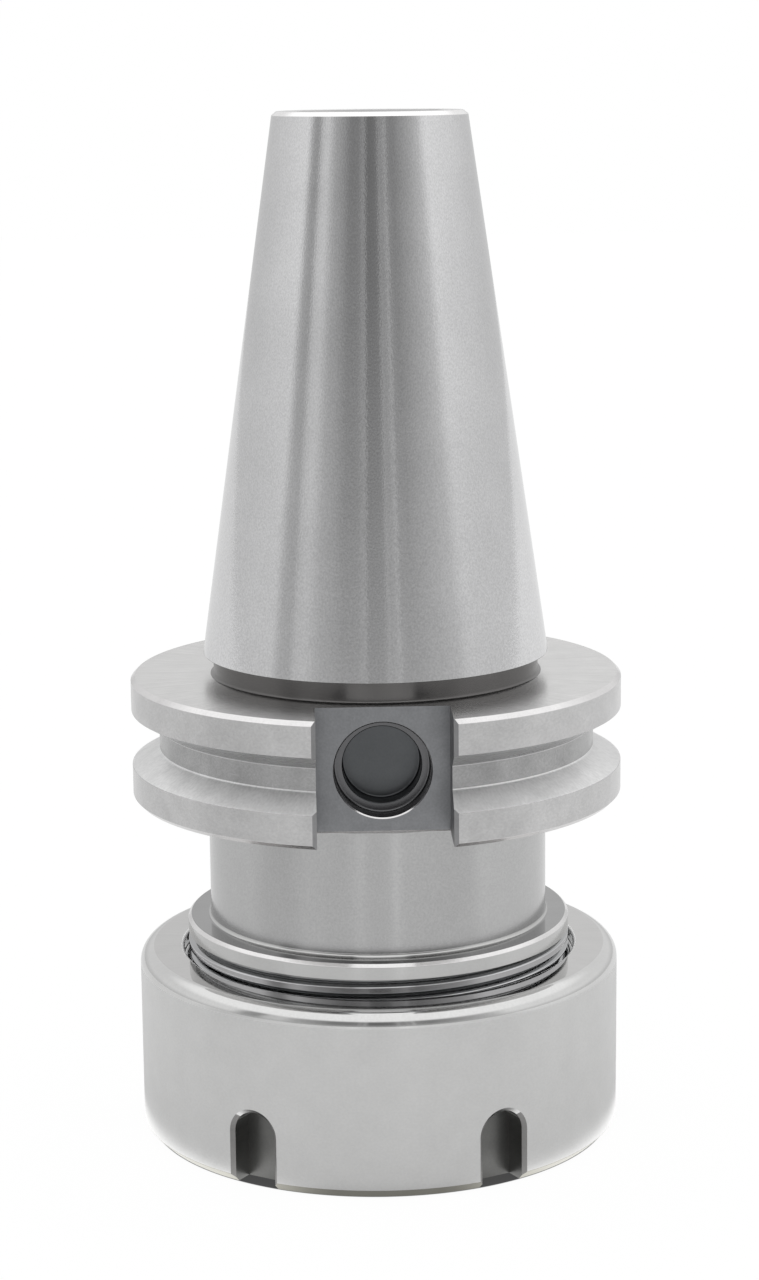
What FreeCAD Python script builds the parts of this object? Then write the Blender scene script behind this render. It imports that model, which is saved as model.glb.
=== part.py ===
import FreeCAD, Part
import math
import os

import Sketcher

# Collet chuck holder: a 40-taper V-flange shank with a size-40 spring collet and its clamping nut.
# Row frame: the origin is the centre of the nut's front face, +Z runs up the spindle axis to the
# small end of the taper, and the drive slot with the round pocket faces -Y.

document = FreeCAD.newDocument("ColletChuckHolder")
sheet = document.addObject("Spreadsheet::Sheet", "Sizes")

# Driving dimensions in millimetres, and angles in degrees.
SIZES = {
    # Shank: 7/24 steep taper, measured from its gauge line
    "projection": (63.5, "gauge line to the nut's front face"),
    "gauge_diameter": (44.45, "taper at the gauge line"),
    "taper_ratio": (7 / 24, "change of diameter per length"),
    "taper_length": (68.25, "gauge line to the small end"),
    "taper_overrun": (0.39, "taper carried on below the gauge line"),
    "end_chamfer": (0.5, "chamfer round the small end"),
    "undercut_depth": (1.225, "grinding relief below the gauge radius"),
    # V-flange
    "flange_gap": (3.18, "gauge line to the flange"),
    "flange_diameter": (63.5, "both discs"),
    "flange_thickness": (15.87, "over both discs"),
    "flange_chamfer": (0.55, "outer edges of the discs"),
    "groove_offset": (11.18, "gauge line to the middle of the V"),
    "groove_opening": (7.15, "width of the V at the rim"),
    "groove_depth": (3.57, "rim to the flat bottom of the V"),
    "groove_flank": (30, "each flank of the V from square"),
    "drive_slot_width": (16.6, "key slot through both discs"),
    "drive_slot_floor": (22.6, "slot floor from the axis"),
    "drive_slot_chamfer": (0.55, "slot wall to rim"),
    "pocket_mouth_diameter": (12.0, "counterbore in the front slot floor"),
    "pocket_mouth_depth": (3.0, "counterbore depth"),
    "pocket_diameter": (9.8, "blind pocket"),
    "pocket_depth": (3.0, "blind pocket below the counterbore"),
    # Neck, collar and threaded nose
    "neck_step": (3.0, "collar to the plain neck, on the radius"),
    "neck_cove": (0.7, "neck to collar"),
    "collar_height": (2.1, "plain collar above the thread"),
    "collar_bevel": (0.5, "edge of the collar's shoulder"),
    "thread_shown": (2.1, "thread between the collar and the nut's top face"),
    "thread_depth": (0.92, "crest to root"),
    "nose_lift": (12.0, "nut's front face to the nose end"),
    "nose_chamfer": (0.9, "outer edge of the nose end"),
    # Bores of the shank
    "socket_spare": (1.0, "socket deeper than the collet"),
    "clearance_diameter": (25.2, "bore behind the socket"),
    "clearance_length": (13.0, "bore behind the socket"),
    "drill_slope": (31, "drill point from square"),
    "passage_diameter": (8.0, "coolant passage"),
    "pilot_wall": (4.13, "small end's edge to the retention thread's pilot"),
    "pilot_depth": (4.8, "pilot of the retention thread"),
    "retention_step": (1.39, "pilot to the retention thread's minor diameter, on the radius"),
    "retention_depth": (38.0, "small end to the foot of the tapped bore"),
    # Spring collet
    "collet_inset": (0.5, "collet face behind the nut face"),
    "collet_length": (46.0, "over all"),
    "nose_wall": (4.5, "nose thread's crest to the collet's largest diameter"),
    "collet_slope": (8, "back cone from the axis"),
    "collet_wall": (10.5, "largest diameter to the tool bore"),
    "front_cone_step": (0.64, "largest diameter to the front cone's widest, on the radius"),
    "front_cone_length": (6.0, "front cone"),
    "front_cone_slope": (30, "front cone from the axis"),
    "extractor_groove_depth": (2.9, "below the largest diameter"),
    "extractor_groove_width": (3.5, "groove"),
    "collet_edge": (0.6, "chamfer from the groove to the largest diameter"),
    "collet_bevel": (0.5, "edge of the back face"),
    "slit_width": (1.0, "saw cuts"),
    "slit_pairs": (8, "cuts from each end"),
    "front_slit_land": (6.0, "left uncut at the back"),
    "back_slit_land": (12.0, "left uncut at the front"),
    # Clamping nut
    "nut_diameter": (62.8, "outside"),
    "nut_wall": (6.4, "outside to the nose thread's crest"),
    "nut_height": (24.0, "over all"),
    "nut_bevel": (1.2, "top outer edge"),
    "nut_chamfer": (1.15, "front outer edge"),
    "nut_clocking": (26.7, "first spanner slot from -Y, as tightened"),
    "spanner_slots": (6, "slots round the nut"),
    "spanner_slot_width": (5.8, "slot"),
    "spanner_slot_height": (9.75, "front face to the round top"),
    "spanner_slot_depth": (3.6, "from the outside"),
    "spanner_slot_chamfer": (0.4, "slot edges"),
    "recess_rim": (5.75, "outside to the recess round the thread"),
    "recess_depth": (1.7, "recess round the thread"),
    "nut_thread_length": (9.3, "threaded bore"),
    "relief_depth": (0.4, "chamber below the thread, beyond the crest"),
    "mouth_edge": (0.4, "rim of the nut's mouth"),
    "lip_height": (2.4, "extractor lip"),
    "lip_clearance": (0.09, "eccentric bore of the lip round the front cone"),
    "lip_offset": (1.2, "eccentricity of the lip"),
    "lip_floor_gap": (0.4, "lip above the front end of the collet's groove"),
    # Clearances
    "seat_gap": (0.1, "between cone seats"),
    "thread_gap": (0.25, "between the nut's bore and the thread root"),
}

for row, (alias, (value, meaning)) in enumerate(SIZES.items(), 1):
    sheet.set(f"A{row}", alias)
    sheet.set(f"B{row}", repr(value))
    sheet.set(f"C{row}", meaning)
    sheet.setAlias(f"B{row}", alias)
document.recompute()


def number(expression):
    """The present value of an expression on the sheet."""
    value = sheet.evalExpression(expression)
    return float(getattr(value, "Value", value))


def new_body(label):
    body = document.addObject("PartDesign::Body", label)
    body.Label = label
    return body


def datum(body, role):
    """One of the body's own origin planes or axes."""
    return next(item for item in body.Origin.OriginFeatures if item.Role == role)


def new_sketch(body, name, role, offset=None):
    """A sketch on one of the body's own origin planes, offset along the plane's normal."""
    sketch = body.newObject("Sketcher::SketchObject", name)
    sketch.AttachmentSupport = [(datum(body, role), "")]
    sketch.MapMode = "FlatFace"
    if offset:
        sketch.setExpression("AttachmentOffset.Base.z", offset)
    return sketch


def pin(sketch, kind, geometry, end, expression):
    """Hold one coordinate of a point at an expression, measured from the sketch's origin."""
    index = sketch.addConstraint(
        Sketcher.Constraint(kind, -1, 1, geometry, end, number(expression)))
    sketch.setExpression(f"Constraints[{index}]", expression)


def pin_point(sketch, geometry, end, across, along):
    pin(sketch, "DistanceX", geometry, end, across)
    pin(sketch, "DistanceY", geometry, end, along)


def outline(sketch, corners):
    """A closed outline of straight lines through corners given as pairs of expressions."""
    points = [FreeCAD.Vector(number(across), number(along), 0) for across, along in corners]
    count = len(points)
    for index in range(count):
        sketch.addGeometry(Part.LineSegment(points[index], points[(index + 1) % count]))
    for index in range(count):
        sketch.addConstraint(
            Sketcher.Constraint("Coincident", index, 2, (index + 1) % count, 1))
        pin_point(sketch, index, 1, *corners[index])


def circle(sketch, diameter, across="0", along="0"):
    centre = FreeCAD.Vector(number(across), number(along), 0)
    edge = sketch.addGeometry(
        Part.Circle(centre, FreeCAD.Vector(0, 0, 1), number(diameter) / 2))
    pin_point(sketch, edge, 3, across, along)
    index = sketch.addConstraint(Sketcher.Constraint("Diameter", edge, number(diameter)))
    sketch.setExpression(f"Constraints[{index}]", diameter)


def turn(body, name, corners, kind="PartDesign::Revolution"):
    """A full turn of an outline about Z: a Revolution adds it and a Groove cuts it."""
    sketch = new_sketch(body, name + "Sketch", "XZ_Plane")
    outline(sketch, corners)
    feature = body.newObject(kind, name)
    feature.Profile = sketch
    feature.ReferenceAxis = (sketch, ["V_Axis"])
    feature.Angle = 360
    document.recompute()
    return feature


def cut(body, name, sketch, depth, upward=False):
    """A pocket of a given depth, checked to take material away."""
    before = body.Tip.Shape.Volume
    pocket = body.newObject("PartDesign::Pocket", name)
    pocket.Profile = sketch
    pocket.setExpression("Length", depth)
    pocket.Reversed = upward
    document.recompute()
    if pocket.Shape.Volume >= before:
        raise RuntimeError(name + " cuts nothing")
    return pocket


def repeat(body, name, original, count):
    """Copies of a cut, evenly spaced round Z."""
    pattern = body.newObject("PartDesign::PolarPattern", name)
    pattern.Originals = [original]
    pattern.Axis = (datum(body, "Z_Axis"), [""])
    pattern.Angle = 360
    pattern.setExpression("Occurrences", count)
    body.Tip = pattern
    document.recompute()
    return pattern


NEAR = 0.01


def rings(feature, corners):
    """Names of the feature's circular edges about Z at corners of radius and height."""
    wanted = [(number(radius), number(height)) for radius, height in corners]
    names = []
    for index, edge in enumerate(feature.Shape.Edges, 1):
        if not isinstance(edge.Curve, Part.Circle):
            continue
        centre = edge.Curve.Center
        if abs(centre.x) > NEAR or abs(centre.y) > NEAR:
            continue
        for radius, height in wanted:
            if abs(edge.Curve.Radius - radius) < NEAR and abs(centre.z - height) < NEAR:
                names.append(f"Edge{index}")
    return names


def chamfer(body, name, edges, size):
    """A chamfer on named edges of the body's tip."""
    feature = body.newObject("PartDesign::Chamfer", name)
    feature.Base = (feature.BaseFeature, edges)
    feature.setExpression("Size", size)
    document.recompute()
    return feature


def ring_edges(body, name, corners, size):
    """A chamfer on the circular edges about Z at corners of radius and height."""
    return chamfer(body, name, rings(body.Tip, corners), size)


# Radii and heights that more than one outline uses. The shank's heights start from its gauge line
# and run down to the nose, the collet's and the nut's from their own front faces.
FLANGE_RADIUS = "Sizes.flange_diameter / 2"
FLANGE_TOP = "-Sizes.flange_gap"
FLANGE_FOOT = "-Sizes.flange_gap - Sizes.flange_thickness"
UNDERCUT_RADIUS = "(Sizes.gauge_diameter / 2 - Sizes.undercut_depth)"
NUT_RADIUS = "Sizes.nut_diameter / 2"
COLLAR_RADIUS = "(Sizes.nut_diameter / 2 - Sizes.nut_wall)"
COLLAR_TOP = "(Sizes.nut_height + Sizes.thread_shown + Sizes.collar_height - Sizes.projection)"
NECK_RADIUS = f"({COLLAR_RADIUS} - Sizes.neck_step)"
THREAD_ROOT = f"({COLLAR_RADIUS} - Sizes.thread_depth)"
NOSE_END = "(Sizes.nose_lift - Sizes.projection)"
SMALL_END_RADIUS = "(Sizes.gauge_diameter - Sizes.taper_length * Sizes.taper_ratio) / 2"
SMALL_END = "Sizes.taper_length"
COLLET_RADIUS = f"({COLLAR_RADIUS} - Sizes.nose_wall)"
CONE_END = "Sizes.front_cone_length"
CONE_END_RADIUS = f"({COLLET_RADIUS} - Sizes.front_cone_step)"
FACE_RADIUS = (
    f"({CONE_END_RADIUS} - Sizes.front_cone_length * tan(Sizes.front_cone_slope))")
GROOVE_END = "(Sizes.front_cone_length + Sizes.extractor_groove_width)"
WIDEST = "(Sizes.front_cone_length + Sizes.extractor_groove_width + Sizes.collet_edge)"


def collet_radius(height):
    """The back cone's radius at a height above the collet's own front face."""
    return f"{COLLET_RADIUS} - ({height} - {WIDEST}) * tan(Sizes.collet_slope)"


def build_shank():
    """Shank, V-flange, neck and threaded nose, turned and ground from one bar."""
    body = new_body("chuck_body")
    body.setExpression("Placement.Base.z", "Sizes.projection")
    half_opening = "Sizes.groove_opening / 2"
    flank = "Sizes.groove_depth * tan(Sizes.groove_flank)"
    floor_radius = f"{FLANGE_RADIUS} - Sizes.groove_depth"
    taper_foot = "-Sizes.taper_overrun"
    turn(body, "TurnedOutline", [
        ("0", NOSE_END),
        (THREAD_ROOT, NOSE_END),
        (THREAD_ROOT, f"{COLLAR_TOP} - Sizes.collar_height"),
        (COLLAR_RADIUS, f"{COLLAR_TOP} - Sizes.collar_height"),
        (COLLAR_RADIUS, COLLAR_TOP),
        (NECK_RADIUS, COLLAR_TOP),
        (NECK_RADIUS, FLANGE_FOOT),
        (FLANGE_RADIUS, FLANGE_FOOT),
        (FLANGE_RADIUS, f"-Sizes.groove_offset - {half_opening}"),
        (floor_radius, f"-Sizes.groove_offset - {half_opening} + {flank}"),
        (floor_radius, f"-Sizes.groove_offset + {half_opening} - {flank}"),
        (FLANGE_RADIUS, f"-Sizes.groove_offset + {half_opening}"),
        (FLANGE_RADIUS, FLANGE_TOP),
        (UNDERCUT_RADIUS, FLANGE_TOP),
        (UNDERCUT_RADIUS, taper_foot),
        ("(Sizes.gauge_diameter + Sizes.taper_overrun * Sizes.taper_ratio) / 2", taper_foot),
        (SMALL_END_RADIUS, SMALL_END),
        ("0", SMALL_END),
    ])
    ring_edges(body, "SmallEndChamfer", [(SMALL_END_RADIUS, SMALL_END)], "Sizes.end_chamfer")
    ring_edges(body, "FlangeChamfers",
               [(FLANGE_RADIUS, FLANGE_TOP), (FLANGE_RADIUS, FLANGE_FOOT)],
               "Sizes.flange_chamfer")
    ring_edges(body, "NeckCove", [(NECK_RADIUS, COLLAR_TOP)], "Sizes.neck_cove")
    ring_edges(body, "CollarBevel", [(COLLAR_RADIUS, COLLAR_TOP)], "Sizes.collar_bevel")
    ring_edges(body, "NoseChamfer", [(THREAD_ROOT, NOSE_END)], "Sizes.nose_chamfer")
    bore_shank(body)
    cut_drive_slots(body)
    return body


def bore_shank(body):
    """The collet's socket, the clearance bore, the coolant passage and the retention bore."""
    def socket_radius(depth):
        """Clear of the collet's back cone at a depth above the nose end."""
        height = f"(Sizes.nose_lift - Sizes.collet_inset + {depth})"
        return collet_radius(height) + " + Sizes.seat_gap"

    socket_depth = ("(Sizes.collet_inset + Sizes.collet_length + Sizes.socket_spare"
                    " - Sizes.nose_lift)")
    socket_top = f"{NOSE_END} + {socket_depth}"
    clearance = "Sizes.clearance_diameter / 2"
    clearance_top = f"{socket_top} + Sizes.clearance_length"
    passage = "Sizes.passage_diameter / 2"
    pilot = f"({SMALL_END_RADIUS} - Sizes.pilot_wall)"
    retention = f"({pilot} - Sizes.retention_step)"
    retention_foot = f"{SMALL_END} - Sizes.retention_depth"
    pilot_foot = f"{SMALL_END} - Sizes.pilot_depth"
    point = "tan(Sizes.drill_slope)"
    turn(body, "Bores", [
        ("0", NOSE_END),
        (socket_radius("0"), NOSE_END),
        (socket_radius(socket_depth), socket_top),
        (clearance, socket_top),
        (clearance, clearance_top),
        (passage, f"{clearance_top} + ({clearance} - {passage}) * {point}"),
        (passage, f"{retention_foot} - ({retention} - {passage}) * {point}"),
        (retention, retention_foot),
        (retention, pilot_foot),
        (pilot, pilot_foot),
        (pilot, SMALL_END),
        ("0", SMALL_END),
    ], "PartDesign::Groove")


def cut_drive_slots(body):
    """Two opposite key slots through both discs, and the round pocket in the front one."""
    half = "Sizes.drive_slot_width / 2"
    floor = "-Sizes.drive_slot_floor"
    wall_end = f"-sqrt(({FLANGE_RADIUS}) ^ 2 - ({half}) ^ 2) + Sizes.drive_slot_chamfer"
    outside = f"-{FLANGE_RADIUS} - Sizes.drive_slot_chamfer"
    flare = f"({wall_end}) - ({outside})"
    sketch = new_sketch(body, "DriveSlotSketch", "XY_Plane", FLANGE_FOOT)
    outline(sketch, [
        (f"-{half}", floor),
        (f"-{half}", wall_end),
        (f"-{half} - ({flare})", outside),
        (f"{half} + ({flare})", outside),
        (half, wall_end),
        (half, floor),
    ])
    slot = cut(body, "DriveSlot", sketch, "Sizes.flange_thickness", upward=True)
    repeat(body, "DriveSlots", slot, "2")

    mouth = new_sketch(body, "PocketMouthSketch", "XZ_Plane", "Sizes.drive_slot_floor")
    circle(mouth, "Sizes.pocket_mouth_diameter", along="-Sizes.groove_offset")
    cut(body, "PocketMouth", mouth, "Sizes.pocket_mouth_depth")
    pocket = new_sketch(body, "PocketSketch", "XZ_Plane",
                        "Sizes.drive_slot_floor - Sizes.pocket_mouth_depth")
    circle(pocket, "Sizes.pocket_diameter", along="-Sizes.groove_offset")
    cut(body, "Pocket", pocket, "Sizes.pocket_depth")


def build_collet():
    """Spring collet: two opposed cones, an extractor groove, and saw cuts from both ends."""
    body = new_body("spring_collet")
    body.setExpression("Placement.Base.z", "Sizes.collet_inset")
    bore = f"{COLLET_RADIUS} - Sizes.collet_wall"
    groove = f"{COLLET_RADIUS} - Sizes.extractor_groove_depth"
    back = "Sizes.collet_length"
    back_radius = collet_radius(back)
    turn(body, "ColletOutline", [
        (bore, "0"),
        (FACE_RADIUS, "0"),
        (CONE_END_RADIUS, CONE_END),
        (groove, CONE_END),
        (groove, GROOVE_END),
        (f"{COLLET_RADIUS} - Sizes.collet_edge", GROOVE_END),
        (COLLET_RADIUS, WIDEST),
        (back_radius, back),
        (bore, back),
    ])
    ring_edges(body, "BackBevel", [(back_radius, back)], "Sizes.collet_bevel")

    half = "Sizes.slit_width / 2"
    reach = f"{COLLET_RADIUS} * 2"
    front_sketch = new_sketch(body, "FrontSlitSketch", "XY_Plane")
    outline(front_sketch, [("0", f"-{half}"), (reach, f"-{half}"), (reach, half), ("0", half)])
    front = cut(body, "FrontSlit", front_sketch,
                "Sizes.collet_length - Sizes.front_slit_land", upward=True)
    repeat(body, "FrontSlits", front, "Sizes.slit_pairs")

    back_sketch = new_sketch(body, "BackSlitSketch", "XY_Plane", "Sizes.collet_length")
    back_sketch.setExpression("AttachmentOffset.Rotation.Angle", "180 / Sizes.slit_pairs")
    outline(back_sketch, [("0", f"-{half}"), (reach, f"-{half}"), (reach, half), ("0", half)])
    rear = cut(body, "BackSlit", back_sketch, "Sizes.collet_length - Sizes.back_slit_land")
    repeat(body, "BackSlits", rear, "Sizes.slit_pairs")
    return body


def build_nut():
    """Clamping nut: inside cone, eccentric extractor lip, threaded bore and spanner slots."""
    body = new_body("clamping_nut")
    body.setExpression("Placement.Rotation.Angle", "Sizes.nut_clocking")
    top = "Sizes.nut_height"
    recess = f"{NUT_RADIUS} - Sizes.recess_rim"
    recess_floor = "Sizes.nut_height - Sizes.recess_depth"
    thread = f"{THREAD_ROOT} + Sizes.thread_gap"
    thread_foot = f"{recess_floor} - Sizes.nut_thread_length"
    relief = f"{COLLAR_RADIUS} + Sizes.relief_depth"
    lip_floor = "(Sizes.collet_inset + Sizes.front_cone_length + Sizes.lip_floor_gap)"
    lip_top = f"{lip_floor} + Sizes.lip_height"
    lip_bore = f"({CONE_END_RADIUS} + Sizes.lip_clearance)"
    lip_radius = f"{lip_bore} - Sizes.lip_offset"
    mouth = f"{FACE_RADIUS} + Sizes.seat_gap - Sizes.collet_inset * tan(Sizes.front_cone_slope)"
    turn(body, "NutOutline", [
        (mouth, "0"),
        (NUT_RADIUS, "0"),
        (NUT_RADIUS, top),
        (recess, top),
        (recess, recess_floor),
        (thread, recess_floor),
        (thread, thread_foot),
        (relief, thread_foot),
        (relief, lip_top),
        (lip_radius, lip_top),
        (lip_radius, lip_floor),
        (f"{mouth} + {lip_floor} * tan(Sizes.front_cone_slope)", lip_floor),
    ])
    ring_edges(body, "TopBevel", [(NUT_RADIUS, top)], "Sizes.nut_bevel")
    ring_edges(body, "FrontChamfer", [(NUT_RADIUS, "0")], "Sizes.nut_chamfer")
    ring_edges(body, "MouthEdge", [(mouth, "0")], "Sizes.mouth_edge")

    lip_sketch = new_sketch(body, "LipSketch", "XY_Plane", lip_floor)
    circle(lip_sketch, f"{lip_bore} * 2", across="Sizes.lip_offset")
    cut(body, "EccentricLip", lip_sketch, "Sizes.lip_height", upward=True)

    slot = cut(body, "SpannerSlot", spanner_slot_sketch(body), "Sizes.spanner_slot_depth")
    pattern = repeat(body, "SpannerSlots", slot, "Sizes.spanner_slots")
    chamfer(body, "SpannerSlotEdges", wall_edges(pattern), "Sizes.spanner_slot_chamfer")
    return body


def spanner_slot_sketch(body):
    """A slot open at the nut's front face, with a round top."""
    sketch = new_sketch(body, "SpannerSlotSketch", "XZ_Plane", NUT_RADIUS)
    half = "Sizes.spanner_slot_width / 2"
    below = "-Sizes.spanner_slot_width / 2"
    shoulder = f"Sizes.spanner_slot_height - {half}"
    left = number(f"-{half}")
    right = number(half)
    low = number(below)
    high = number(shoulder)
    centre = FreeCAD.Vector(0, high, 0)
    round_top = Part.Circle(centre, FreeCAD.Vector(0, 0, 1), right)
    corners = [FreeCAD.Vector(left, low, 0), FreeCAD.Vector(right, low, 0),
               FreeCAD.Vector(right, high, 0), FreeCAD.Vector(left, high, 0)]
    sketch.addGeometry(Part.LineSegment(corners[0], corners[1]))
    sketch.addGeometry(Part.LineSegment(corners[1], corners[2]))
    sketch.addGeometry(Part.ArcOfCircle(round_top, 0, math.pi))
    sketch.addGeometry(Part.LineSegment(corners[3], corners[0]))
    for first, second in ((0, 1), (1, 2), (2, 3), (3, 0)):
        sketch.addConstraint(Sketcher.Constraint("Coincident", first, 2, second, 1))
    pin_point(sketch, 0, 1, f"-{half}", below)
    pin_point(sketch, 1, 1, half, below)
    pin_point(sketch, 2, 1, half, shoulder)
    pin_point(sketch, 3, 1, f"-{half}", shoulder)
    pin(sketch, "DistanceY", 2, 3, shoulder)
    return sketch


def wall_edges(feature):
    """Edges where the spanner slots break the nut's outer wall."""
    wall = number(NUT_RADIUS)
    names = []
    for index, edge in enumerate(feature.Shape.Edges, 1):
        points = edge.discretize(3)
        on_wall = all(abs((point.x ** 2 + point.y ** 2) ** 0.5 - wall) < NEAR for point in points)
        rises = max(point.z for point in points) - min(point.z for point in points) > NEAR
        seam = len(feature.Shape.ancestorsOfType(edge, Part.Face)) < 2
        if on_wall and rises and not seam:
            names.append(f"Edge{index}")
    return names


sub_parts = [build_shank(), build_collet(), build_nut()]
document.recompute()

faults = [item.Label for item in document.Objects
          if "Invalid" in item.State or "Error" in item.State]
if faults:
    raise RuntimeError("failed objects: " + ", ".join(faults))

os.makedirs("parts", exist_ok=True)
for part in sub_parts:
    if part.Shape.isNull() or not part.Shape.isValid() or len(part.Shape.Solids) != 1:
        raise RuntimeError(part.Label + " is not one valid solid")
    part.Shape.exportStep(f"parts/{part.Label}.step")
    box = part.Shape.BoundBox
    print(part.Label, "volume", round(part.Shape.Volume, 1), "mm3",
          "box", [round(value, 3) for value in (box.XLength, box.YLength, box.ZMin, box.ZMax)])
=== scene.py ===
import math

import bmesh
import bpy
import numpy as np
from mathutils import Matrix, Vector


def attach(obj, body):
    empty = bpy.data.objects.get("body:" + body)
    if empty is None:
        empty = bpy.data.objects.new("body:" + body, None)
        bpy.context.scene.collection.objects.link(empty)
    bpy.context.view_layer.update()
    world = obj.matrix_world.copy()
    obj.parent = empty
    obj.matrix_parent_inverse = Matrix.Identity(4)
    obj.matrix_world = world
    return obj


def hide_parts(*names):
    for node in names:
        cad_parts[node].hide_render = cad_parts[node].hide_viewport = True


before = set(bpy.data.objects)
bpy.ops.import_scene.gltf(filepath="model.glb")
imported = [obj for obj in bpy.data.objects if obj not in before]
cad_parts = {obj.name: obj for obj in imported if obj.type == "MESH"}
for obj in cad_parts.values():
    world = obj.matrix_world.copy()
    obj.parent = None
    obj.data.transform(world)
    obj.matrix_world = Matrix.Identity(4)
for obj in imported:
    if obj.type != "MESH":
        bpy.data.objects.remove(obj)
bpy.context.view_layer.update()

MM = 0.001
RING_STEPS = 360
BEND_STEPS = 7

# Sizes in millimetres. Heights run up the spindle axis from the nut's front face.
GAUGE_HEIGHT = 63.5
SMALL_END = 131.75
POCKET_HEIGHT = 52.32
POCKET_RADIUS = 6.0
POCKET_LEDGE = 19.6
SLOT_HALF_WIDTH = 8.3
SLOT_FLOOR = 22.6
SLOT_FLARE = 0.7
FLANGE_RADIUS = 31.75
FLANGE_TOP = 60.32
FLANGE_FOOT = 44.45
NECK_RADIUS = 22.0
COLLAR_RADIUS = 25.0
COLLAR_TOP = 28.2
COLLAR_FOOT = 26.1
THREAD_CREST = 25.0
THREAD_ROOT = 24.08
THREAD_TOP = 25.75
THREAD_PITCH = 1.5
THREAD_START = math.radians(90)
NUT_RADIUS = 31.4
NUT_HEIGHT = 24
NUT_ROUND = 2.0
NUT_BEVEL = 1.15
NUT_MOUTH = 25.65
NUT_THREAD = 25.05
NUT_CLOCKING = math.radians(27.5)

# The slack when a face is matched to a size.
HAIR = 0.01


def node(tree, kind, inputs=None, **settings):
    """A node with its settings, and with each input either linked or given a value."""
    made = tree.nodes.new(kind)
    for key, value in settings.items():
        setattr(made, key, value)
    for key, value in (inputs or {}).items():
        if isinstance(value, bpy.types.NodeSocket):
            tree.links.new(value, made.inputs[key])
        else:
            made.inputs[key].default_value = value
    return made


def reckon(tree, operation, *terms):
    """One sum in a tree, as its output."""
    return node(tree, "ShaderNodeMath", dict(enumerate(terms)), operation=operation).outputs[0]


def graded(tree, value, start, end, low=0.0, high=1.0, smooth=False):
    """The value's stretch from start to end carried over to low to high, and held beyond."""
    return node(tree, "ShaderNodeMapRange",
                {"Value": value, "From Min": start, "From Max": end,
                 "To Min": low, "To Max": high},
                interpolation_type="SMOOTHSTEP" if smooth else "LINEAR").outputs[0]


def grey(level):
    """White times a level, as a colour."""
    return (level, level, level, 1)


def blended(tree, share, first, second, blend="MIX"):
    """Two colours mixed by a share, or with the second laid on the first in another way."""
    return node(tree, "ShaderNodeMix", {0: share, 6: first, 7: second},
                data_type="RGBA", blend_type=blend).outputs[2]


def new_group(name, kind, inputs, outputs):
    """An empty node group with named inputs and outputs, and its two end nodes."""
    tree = bpy.data.node_groups.new(name, kind)
    for label, socket_type, value in inputs:
        socket = tree.interface.new_socket(label, in_out="INPUT", socket_type=socket_type)
        if value is not None:
            socket.default_value = value
    for label, socket_type in outputs:
        tree.interface.new_socket(label, in_out="OUTPUT", socket_type=socket_type)
    return tree, tree.nodes.new("NodeGroupInput"), tree.nodes.new("NodeGroupOutput")


# Turned outlines: corners of radius, height and round-over, joined in order into a closed loop.

def line_normal(start, end):
    """The normal on the right of a stretch, away from the solid."""
    along = np.subtract(end, start)
    return np.array((along[1], -along[0])) / np.hypot(*along)


def turned_outline(corners):
    """Points of a closed outline, and the surface's normal at both ends of each stretch.
    The solid lies to the left of the direction of travel."""
    points, leaving, arriving = [], [], []
    count = len(corners)
    for index, (radius, height, bend) in enumerate(corners):
        corner = np.array((radius, height), float)
        before = np.array(corners[index - 1][:2], float)
        after = np.array(corners[(index + 1) % count][:2], float)
        normal_in = line_normal(before, corner)
        normal_out = line_normal(corner, after)
        if not bend:
            points.append(corner)
            arriving.append(normal_in)
            leaving.append(normal_out)
            continue
        turn = math.atan2(normal_in[0] * normal_out[1] - normal_in[1] * normal_out[0],
                          float(np.dot(normal_in, normal_out)))
        reach = bend * abs(math.tan(turn / 2))
        along_in = (corner - before) / np.hypot(*(corner - before))
        start = corner - along_in * reach
        centre = start - normal_in * math.copysign(bend, turn)
        steps = max(2, round(BEND_STEPS * abs(turn) / (math.pi / 2) * (1 + bend / 2)))
        for step in range(steps + 1):
            angle = turn * step / steps
            normal = np.array((normal_in[0] * math.cos(angle) - normal_in[1] * math.sin(angle),
                               normal_in[0] * math.sin(angle) + normal_in[1] * math.cos(angle)))
            points.append(centre + normal * math.copysign(bend, turn))
            arriving.append(normal)
            leaving.append(normal)
    points, leaving, arriving = np.array(points), np.array(leaving), np.array(arriving)
    return {"points": points, "start": leaving, "end": np.roll(arriving, -1, axis=0)}


def outline_object(name, outline):
    """The outline's points as a mesh that a node tree reads."""
    mesh = bpy.data.meshes.new(name)
    points = [(radius * MM, 0, height * MM) for radius, height in outline["points"]]
    mesh.from_pydata(points, [(i, (i + 1) % len(points)) for i in range(len(points))], [])
    return scratch_object(name, mesh)


SCRATCH = []


def scratch_object(name, mesh):
    """An object that only helps to build others, and is taken away again."""
    made = bpy.data.objects.new(name, mesh)
    bpy.context.scene.collection.objects.link(made)
    SCRATCH.append(made)
    return made


def clear_scratch():
    """Take the scratch objects away."""
    for made in SCRATCH:
        bpy.data.objects.remove(made)
    SCRATCH.clear()


# Node trees for what is turned, repeated round the axis or wound along a helix.

def outline_sample(tree, source, row):
    """Radius and height of the outline's point at a row."""
    position = node(tree, "GeometryNodeInputPosition").outputs[0]
    sample = node(tree, "GeometryNodeSampleIndex",
                  {"Geometry": source, "Value": position, "Index": row},
                  data_type="FLOAT_VECTOR", domain="POINT")
    parts = node(tree, "ShaderNodeSeparateXYZ", {0: sample.outputs[0]})
    return parts.outputs["X"], parts.outputs["Z"]


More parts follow.
